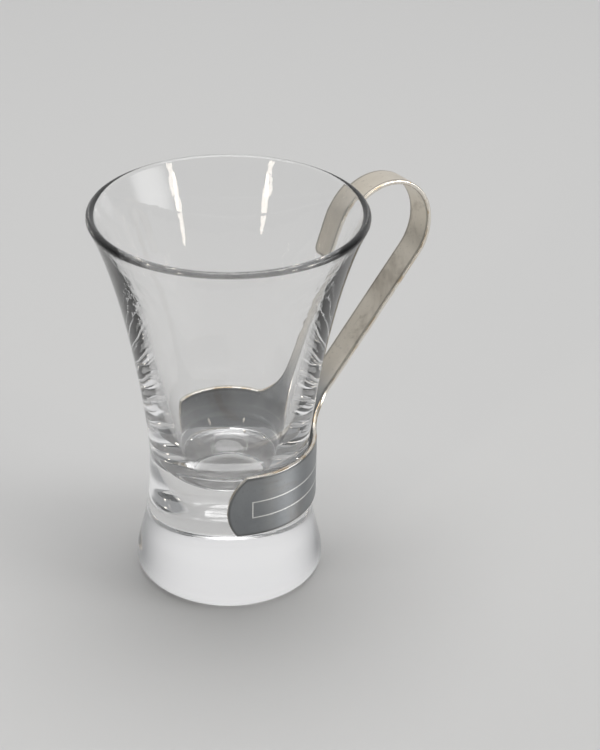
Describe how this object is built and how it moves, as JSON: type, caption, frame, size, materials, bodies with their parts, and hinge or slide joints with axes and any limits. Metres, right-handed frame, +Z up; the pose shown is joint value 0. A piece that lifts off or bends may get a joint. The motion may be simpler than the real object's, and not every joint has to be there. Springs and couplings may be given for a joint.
{
  "type": "espresso cup",
  "caption": "Clear glass espresso cup with a flared bowl, narrow waist and heavy solid base, held by a spring-steel clip handle whose collar turns round the waist.",
  "frame": {"origin": "centre of the flat underside of the glass, on the glass's axis", "axes": "+Z up along the glass's axis, +X from the axis towards the handle, which is symmetric about the XZ plane"},
  "size_m": [0.0893, 0.065, 0.0955],
  "materials": {
    "clear_glass": "polished",
    "satin_steel": "satin"
  },
  "bodies": {
    "glass": {"glass_body": "clear_glass"},
    "handle": {"handle_clip": "satin_steel"}
  },
  "joints": [
    {"name": "collar_turn", "type": "hinge", "parent": "glass", "child": "handle", "pos_m": [0, 0, 0.028], "axis": [0, 0, 1], "continuous": true}
  ]
}
